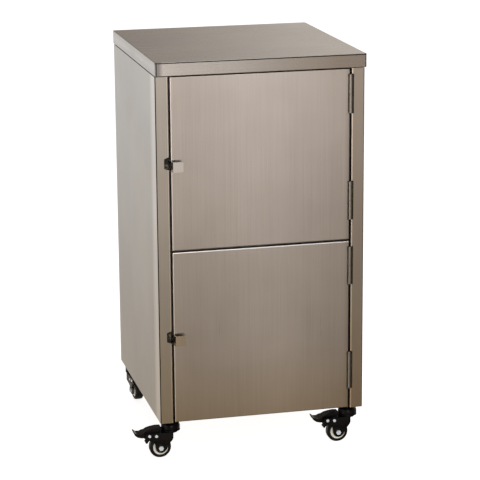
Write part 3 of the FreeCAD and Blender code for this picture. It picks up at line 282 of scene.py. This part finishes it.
def panel_painted_light(g, place):
    """Side panels, all painted light and shade: stile fronts darkened, more so on the right and browner
    towards the foot as a painted reflection, a dark painted line at the corner bend, painted highlights on
    the cut edge beside the door and on the side face by the bend, and painted shade on the wall inside the
    door gap.
    """
    low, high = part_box("side_panel_right")
    x, y, z = g.split(place)
    outwards = g.math("ABSOLUTE", x, 0.0)
    front = g.band(y, low.y - PAST_EDGE, low.y + SHEET_FACE, LINE_SOFT)
    right_side = g.remap(x, 0.0, 100 * MM, 0.0, 1.0)
    foot = g.remap(z, low.z + 300 * MM, low.z, 0.0, 1.0)
    bend = g.band(outwards, high.x - 1.8 * MM, high.x + PAST_EDGE, LINE_SOFT)
    cut_edge = g.band(outwards, low.x + 0.2 * MM, low.x + 2.6 * MM, 0.4 * MM)
    return_wall = g.band(outwards, low.x - PAST_EDGE, low.x + 1.0 * MM, 0.2 * MM)
    in_gap = g.band(y, low.y + 3 * MM, low.y + 40 * MM, 1 * MM)
    side_face = g.band(outwards, high.x - 0.4 * MM, high.x + PAST_EDGE, 0.3 * MM)
    near_bend = g.band(y, low.y + 1.4 * MM, low.y + 32 * MM, 32 * MM)
    return [(front, (0.84, 0.85, 0.84), 0.0),
            (g.overlap(right_side, front), (0.88, 0.83, 0.79), 0.0),
            (g.overlap(foot, front), (1.0, 0.93, 0.80), 0.0),
            (g.overlap(bend, front), PAINTED_FOLD_SHADE, 0.3),
            (g.overlap(cut_edge, front), PAINTED_EDGE_HIGHLIGHT, 0.0),
            (g.overlap(return_wall, in_gap), (0.40, 0.39, 0.38), 0.1),
            (g.overlap(side_face, near_bend), (1.42, 1.42, 1.44), 0.0)]


def door_painted_light(g, place):
    """Doors, all painted light and shade: a painted sheen brightest down the middle, painted highlights on
    the left and lower top edges, painted shade on the right edge, and a brown painted reflection towards the
    foot.
    """
    low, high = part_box("lower_door_skin")
    x, y, z = g.split(place)
    front = g.band(y, low.y - PAST_EDGE, low.y + SHEET_FACE, LINE_SOFT)
    middle = g.band(x, -20 * MM, 40 * MM, 150 * MM)
    left_edge = g.band(x, low.x - PAST_EDGE, low.x + 1.6 * MM, EDGE_SOFT)
    right_edge = g.band(x, high.x - 3 * MM, high.x + PAST_EDGE, 10 * MM)
    top_edge = g.band(z, high.z - 1.8 * MM, high.z + 1.0 * MM, LINE_SOFT)
    foot = g.remap(z, low.z + 160 * MM, low.z, 0.0, 1.0)
    return [(g.overlap(middle, front), (1.20, 1.22, 1.25), 0.0),
            (g.overlap(right_edge, front), (0.80, 0.78, 0.76), 0.0),
            (g.overlap(foot, front), (0.92, 0.85, 0.72), 0.0),
            (g.overlap(g.union(left_edge, top_edge), front), PAINTED_EDGE_HIGHLIGHT, 0.0)]


def hinge_and_pull_painted_light(g, place):
    """Hinge barrels on the right get painted shade and are duller. Of the pulls on the left, the upper gets a
    faintly cooler painted tone and the lower a browner painted shade.
    """
    x, _, z = g.split(place)
    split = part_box("lower_door_skin")[1].z
    barrel = g.remap(x, 100 * MM, 120 * MM, 0.0, 1.0)
    pull = g.remap(x, -100 * MM, -120 * MM, 0.0, 1.0)
    upper = g.remap(z, split - 50 * MM, split + 50 * MM, 0.0, 1.0)
    lower = g.remap(z, split - 50 * MM, split + 50 * MM, 1.0, 0.0)
    return [(barrel, (0.50, 0.50, 0.50), 0.06),
            (g.overlap(pull, upper), (0.96, 1.00, 1.04), 0.0),
            (g.overlap(pull, lower), (0.78, 0.72, 0.61), 0.0)]


def plated(name, dark, light, rough, metallic=1.0):
    """Bright plate with faint clouding."""
    made, g, shader = material(name)
    place = g.coords()
    cloud = g.noise(place, scale=300.0, detail=3.0)
    wear = g.noise(place, scale=60.0, detail=4.0, rough=0.6)
    colour = g.blend(g.remap(cloud, 0.35, 0.65, 0.0, 1.0), dark, light)
    roughness = g.remap(wear, 0.35, 0.7, rough - 0.04, rough + 0.12)
    shade(shader, g, colour, roughness, g.bump(cloud, strength=0.15, distance=0.04 * MM),
          metallic=metallic)
    return made


def moulded(name, dark, light, rough, grain=900.0, depth=0.04 * MM, chips=None, **values):
    """Plastic, rubber or paint: slight mottling, fine grain, uneven gloss, and painted glints as bright spots
    if asked for.
    """
    made, g, shader = material(name)
    place = g.coords()
    fine = g.noise(place, scale=grain, detail=3.0, rough=0.6)
    broad = g.noise(place, scale=24.0, detail=4.0, rough=0.6)
    colour = g.blend(g.remap(broad, 0.35, 0.65, 0.0, 1.0), dark, light)
    colour = g.blend(g.remap(fine, 0.5, 0.75, 0.0, 0.25), colour, light)
    # Bright spots painted in as glints.
    if chips:
        spots = g.noise(place, scale=150.0, detail=1.0)
        colour = g.blend(g.remap(spots, 0.56, 0.64, 0.0, 1.0), colour, chips)
    roughness = g.remap(broad, 0.35, 0.7, rough - 0.06, rough + 0.08)
    shade(shader, g, colour, roughness, g.bump(fine, strength=0.35, distance=depth), **values)
    return made


def foam(name, dark, light):
    """Closed-cell board with small cells."""
    made, g, shader = material(name)
    place = g.coords()
    cells = g.node("ShaderNodeTexVoronoi", in_Scale=650.0)
    g.link(place, cells.inputs["Vector"])
    mottle = g.noise(place, scale=18.0, detail=4.0)
    colour = g.blend(g.remap(mottle, 0.3, 0.7, 0.0, 1.0), dark, light)
    shade(shader, g, colour, 0.9, g.bump(cells.outputs["Distance"], strength=0.5, distance=0.6 * MM))
    return made


# Each material slot's maker and the values that it takes.
FINISHES = {
    # The front, side and top sheets are one steel: the small differences between their dark and light colours
    # are painted light and shade, each set to how that sheet is lit.
    "stainless_front": (brushed, dict(dark=(0.515, 0.485, 0.46), light=(0.625, 0.59, 0.565),
                                      folds=door_painted_light)),
    "stainless_side": (brushed, dict(dark=(0.55, 0.52, 0.485), light=(0.65, 0.615, 0.57),
                                     folds=panel_painted_light)),
    "stainless_top": (brushed, dict(dark=(0.53, 0.49, 0.455), light=(0.63, 0.59, 0.55), grain="X",
                                    rough=0.26, folds=cap_painted_light)),
    "stainless_back": (brushed, dict(dark=(0.50, 0.48, 0.46), light=(0.60, 0.58, 0.56), rough=0.38)),
    "liner_steel": (brushed, dict(dark=(0.62, 0.61, 0.60), light=(0.68, 0.67, 0.66), anisotropic=0.3,
                                  depth=0.01 * MM)),
    "hinge_steel": (brushed, dict(dark=(0.60, 0.565, 0.52), light=(0.70, 0.665, 0.62), rough=0.22,
                                  anisotropic=0.3, folds=hinge_and_pull_painted_light)),
    "rack_wire": (plated, dict(dark=(0.68, 0.68, 0.68), light=(0.78, 0.78, 0.78), rough=0.12)),
    "zinc": (plated, dict(dark=(0.60, 0.64, 0.69), light=(0.80, 0.83, 0.86), rough=0.30,
                          metallic=0.35)),
    "foam": (foam, dict(dark=(0.66, 0.56, 0.30), light=(0.78, 0.70, 0.44))),
    "gasket": (moulded, dict(dark=(0.022, 0.022, 0.024), light=(0.034, 0.034, 0.036), rough=0.6,
                             Specular_IOR_Level=0.25)),
    "drain_plastic": (moulded, dict(dark=(0.74, 0.74, 0.71), light=(0.82, 0.82, 0.79), rough=0.35)),
    "valve_rubber": (moulded, dict(dark=(0.006, 0.006, 0.006), light=(0.012, 0.012, 0.012), rough=0.6,
                                   Specular_IOR_Level=0.2)),
    # The catch magnets get painted glints: bright brownish spots on the black.
    "magnet": (moulded, dict(dark=(0.005, 0.005, 0.005), light=(0.010, 0.010, 0.010), rough=0.35,
                             chips=(0.16, 0.13, 0.09), Specular_IOR_Level=0.3)),
    "caster_black": (moulded, dict(dark=(0.0035, 0.003, 0.003), light=(0.006, 0.005, 0.005), rough=0.26,
                                   grain=420.0, depth=0.06 * MM, Specular_IOR_Level=0.16)),
    "ivory_plastic": (moulded, dict(dark=(0.66, 0.61, 0.51), light=(0.78, 0.74, 0.65), rough=0.32)),
    "tread_black": (moulded, dict(dark=(0.004, 0.004, 0.004), light=(0.009, 0.009, 0.009), rough=0.38,
                                  Specular_IOR_Level=0.2)),
}
LOOKS = {name: maker(name, **values) for name, (maker, values) in FINISHES.items()}

slots = {entry["node"]: entry["material_slot"] for entry in frame["record"]["subparts"]}
for name, piece in nodes.items():
    piece.data.materials.clear()
    piece.data.materials.append(LOOKS[slots[name]])


# ---------------------------------------------------------------- eased edges

EASE = 0.4 * MM
EASE_FROM = math.radians(38)
PRESSED_EASE = 1.2 * MM
PRESSED_FROM = math.radians(8)
LEFT_SHARP = ("foam", "rack_wire", "tread_black")
for name, piece in nodes.items():
    if slots[name] in LEFT_SHARP:
        continue
    pressed = name.endswith("_pedal")
    ease = piece.modifiers.new("eased_edges", "BEVEL")
    ease.width = PRESSED_EASE if pressed else EASE
    ease.segments = 3 if pressed else 2
    ease.limit_method = "ANGLE"
    ease.angle_limit = PRESSED_FROM if pressed else EASE_FROM
    ease.use_clamp_overlap = True
    ease.harden_normals = True


# ---------------------------------------------------------------- added pieces

def add_piece(name, points, faces, look, body, sharp_from):
    """A mesh piece in metres that rides a body and takes a slot's finish."""
    mesh = bpy.data.meshes.new(name)
    mesh.from_pydata([tuple(point) for point in points], [], faces)
    mesh.update()
    mesh.shade_smooth()
    mesh.set_sharp_from_angle(angle=sharp_from)
    mesh.materials.append(LOOKS[look])
    piece = bpy.data.objects.new(name, mesh)
    scene.collection.objects.link(piece)
    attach(piece, body)
    return piece


# Half of the seal's section, from its middle outwards: width from the middle and height.
SEAL_SECTION_MM = ((0.0, 7.55), (0.8, 7.55), (1.2, 7.9), (4.6, 7.9), (5.5, 7.6), (5.9, 6.7), (5.7, 5.3),
                   (4.6, 4.4), (3.4, 3.7), (3.4, 3.1), (4.6, 2.5), (5.6, 2.1), (6.0, 1.5), (6.0, 0.0),
                   (0.0, 0.0))
SEAL_SHARP_FROM = math.radians(50)


def bellows_seal(door):
    """Pleated seal on a door: its section carried round the four mitred sides."""
    low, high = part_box(f"{door}_door_gasket")
    depth = high.y - low.y
    half_width = max(u for u, _ in SEAL_SECTION_MM)
    full_height = max(v for _, v in SEAL_SECTION_MM)
    mirrored = [(-u, v) for u, v in SEAL_SECTION_MM[1:-1]]
    section = list(SEAL_SECTION_MM[:-1]) + mirrored[::-1]
    points = []
    for side_x, side_z in ((-1, -1), (1, -1), (1, 1), (-1, 1)):
        corner_x = low.x if side_x < 0 else high.x
        corner_z = low.z if side_z < 0 else high.z
        for u, v in section:
            inward = (half_width - u) * MM
            points.append((corner_x - side_x * inward, low.y + v / full_height * depth,
                           corner_z - side_z * inward))
    count = len(section)
    faces = []
    for side in range(4):
        here, there = side * count, (side + 1) % 4 * count
        for i in range(count):
            j = (i + 1) % count
            faces.append((here + i, there + i, there + j, here + j))
    seal = add_piece(f"{door}_bellows_seal", points, faces, "gasket", f"{door}_door", SEAL_SHARP_FROM)
    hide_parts(f"{door}_door_gasket")


for door in DOORS:
    bellows_seal(door)


# ---------------------------------------------------------------- floor, camera and light

HALF_FLOOR = 40.0
FLOOR_GLOW = 0.86
corners = [(x, y, 0) for x, y in ((-HALF_FLOOR, -HALF_FLOOR), (HALF_FLOOR, -HALF_FLOOR),
                                  (HALF_FLOOR, HALF_FLOOR), (-HALF_FLOOR, HALF_FLOOR))]
floor_mesh = bpy.data.meshes.new("floor")
floor_mesh.from_pydata(corners, [], [(0, 1, 2, 3)])
floor = bpy.data.objects.new("floor", floor_mesh)
scene.collection.objects.link(floor)
floor_look, floor_graph, floor_shader = material("floor")
paper = floor_graph.noise(floor_graph.coords(), scale=3.0, detail=2.0)
paper_colour = floor_graph.blend(paper, (0.93, 0.93, 0.93), (0.95, 0.95, 0.95))
shade(floor_shader, floor_graph, paper_colour, 0.9, Specular_IOR_Level=0.1,
      Emission_Color=(1, 1, 1, 1), Emission_Strength=FLOOR_GLOW)
floor_mesh.materials.append(floor_look)
floor.visible_glossy = False

CAMERA_AT = Vector((-1.0726, -4.4785, 1.6128))
YAW, PITCH, ROLL = (math.radians(a) for a in (13.577, 14.248, -0.44))
FOCAL_MM = 150.2
SENSOR_MM = 36.0


def camera_axes():
    """The camera's right, up and forward directions from its yaw, pitch and roll."""
    forward = Vector((math.sin(YAW) * math.cos(PITCH), math.cos(YAW) * math.cos(PITCH),
                      -math.sin(PITCH)))
    level = Vector((math.cos(YAW), -math.sin(YAW), 0))
    upright = level.cross(forward)
    right = level * math.cos(ROLL) + upright * math.sin(ROLL)
    up = upright * math.cos(ROLL) - level * math.sin(ROLL)
    return right, up, forward


camera_data = bpy.data.cameras.new("camera")
camera_data.sensor_width = SENSOR_MM
camera_data.lens = FOCAL_MM
camera_data.clip_end = 200.0
camera = bpy.data.objects.new("camera", camera_data)
right, up, forward = camera_axes()
turn = Matrix((right, up, -forward)).transposed()
camera.matrix_world = Matrix.Translation(CAMERA_AT) @ turn.to_4x4()
scene.collection.objects.link(camera)
scene.camera = camera

world = bpy.data.worlds.new("studio")
world.use_nodes = True
scene.world = world
sky = Graph(world.node_tree)
sky_x, sky_y, sky_z = sky.split(sky.coords("Generated"))
height = sky.remap(sky_z, -0.5, 0.5, 0.0, 1.0)
sideways = sky.remap(sky_x, -1.0, 1.0, 0.0, 1.0)

# In front: brown below, bright above, dark straight up. Across: bright at the far left and the middle.
front = sky.ramp(height, [
    (0.00, (0.11, 0.075, 0.035)),
    (0.16, (0.25, 0.187, 0.105)),
    (0.23, (0.46, 0.40, 0.33)),
    (0.29, (0.72, 0.645, 0.59)),
    (0.36, (1.20, 1.10, 1.04)),
    (0.46, (1.25, 1.18, 1.13)),
    (0.62, (0.95, 0.92, 0.89)),
    (0.88, (0.30, 0.29, 0.28)),
    (1.00, (0.10, 0.10, 0.10)),
])
front_across = sky.ramp(sideways, [
    (0.00, (2.20, 2.20, 2.20)),
    (0.09, (2.00, 2.00, 2.00)),
    (0.17, (0.40, 0.39, 0.38)),
    (0.34, (0.50, 0.49, 0.48)),
    (0.45, (1.34, 1.34, 1.34)),
    (0.58, (1.36, 1.35, 1.34)),
    (0.63, (0.86, 0.83, 0.80)),
    (0.68, (0.38, 0.355, 0.33)),
    (0.80, (0.30, 0.28, 0.26)),
    (0.92, (0.10, 0.095, 0.09)),
    (1.00, (0.08, 0.08, 0.08)),
])
front = sky.blend(1.0, front, front_across, "MULTIPLY")

# Behind: pale below, and above it a dark area on the left that opens to light on the right.
behind_low = sky.ramp(height, [
    (0.00, (0.40, 0.35, 0.28)),
    (0.17, (0.50, 0.44, 0.37)),
    (0.27, (0.64, 0.625, 0.605)),
    (0.33, (0.80, 0.80, 0.80)),
    (0.50, (0.86, 0.86, 0.86)),
    (1.00, (0.90, 0.90, 0.90)),
])
behind_high = sky.ramp(sky.remap(sky_x, -0.1, 0.5, 0.0, 1.0), [
    (0.00, (0.20, 0.175, 0.15)),
    (0.38, (0.24, 0.21, 0.185)),
    (0.60, (0.62, 0.58, 0.54)),
    (1.00, (0.84, 0.81, 0.78)),
])
behind = sky.blend(sky.remap(sky_z, -0.04, 0.08, 0.0, 1.0), behind_low, behind_high)
tone = sky.blend(sky.remap(sky_y, -0.2, 0.2, 0.0, 1.0), front, behind)
sky.link(tone, world.node_tree.nodes["Background"].inputs["Color"])


def soft_box(name, place, aim, width, height, power):
    """A soft rectangular light that faces a point."""
    lamp = bpy.data.lights.new(name, "AREA")
    lamp.shape = "RECTANGLE"
    lamp.size, lamp.size_y = width, height
    lamp.energy = power
    holder = bpy.data.objects.new(name, lamp)
    gaze = (Vector(aim) - Vector(place)).normalized()
    holder.location = place
    holder.rotation_euler = gaze.to_track_quat("-Z", "Y").to_euler()
    holder.visible_camera = False
    scene.collection.objects.link(holder)


soft_box("front_card", place=(-0.1, -3.2, 1.6), aim=(0, 0, 0.6), width=1.2, height=1.4, power=12)
soft_box("overhead", place=(0.0, -1.6, 3.2), aim=(0, 0, 0.2), width=2.4, height=1.6, power=26)
